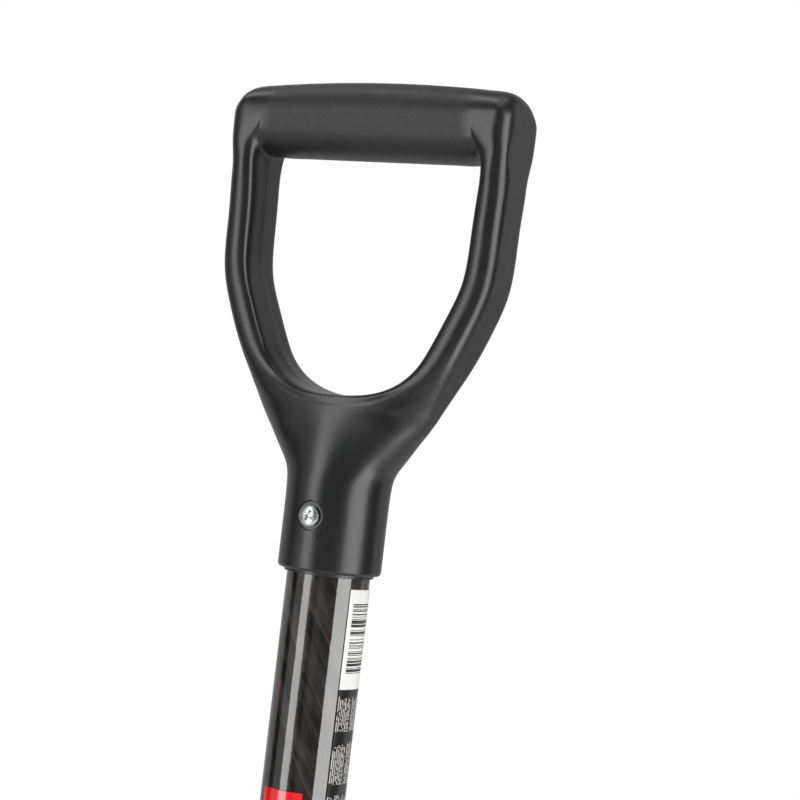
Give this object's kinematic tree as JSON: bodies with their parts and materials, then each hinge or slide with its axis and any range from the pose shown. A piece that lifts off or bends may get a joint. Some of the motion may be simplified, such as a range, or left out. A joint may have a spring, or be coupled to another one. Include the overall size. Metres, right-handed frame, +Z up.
{
  "type": "round point digging shovel",
  "caption": "Round point digging shovel with a hollow composite shaft, a moulded D-handle held by a screw, and a riveted steel socket and blade with foot treads.",
  "frame": {"origin": "the middle of the D-handle's crossbar, on the shaft's axis, where a hand or a hook holds the tool", "axes": "+Z up the shaft from the blade's point to the D-handle, -Y to the tool's front, where the blade is hollow and the handle's screw sits, +X to the right as seen from the front"},
  "size_m": [0.2148, 0.046, 1.2],
  "materials": {
    "handle_plastic": "black moulded plastic, semi-matte, fine sand grain on the crossbar",
    "sleeve_plastic": "black plastic",
    "screw_zinc": "bright zinc plated steel",
    "shaft_composite": "dark brown-black wound fibre look under a clear gloss coat",
    "plug_wood": "bare wood",
    "info_label_film": "printed film, white above and black below",
    "red_label_film": "plain red film",
    "blade_paint": "black powder coat on pressed steel",
    "rivet_steel": "plain steel"
  },
  "bodies": {
    "root": {"d_handle": "handle_plastic", "handle_sleeve": "sleeve_plastic", "handle_screw": "screw_zinc", "shaft_tube": "shaft_composite", "shaft_top_plug": "plug_wood", "shaft_bottom_plug": "plug_wood", "info_label": "info_label_film", "red_label": "red_label_film", "blade": "blade_paint", "blade_socket": "blade_paint", "foot_tread_left": "blade_paint", "foot_tread_right": "blade_paint", "socket_rivet_lower": "rivet_steel", "socket_rivet_upper": "rivet_steel"}
  },
  "joints": []
}
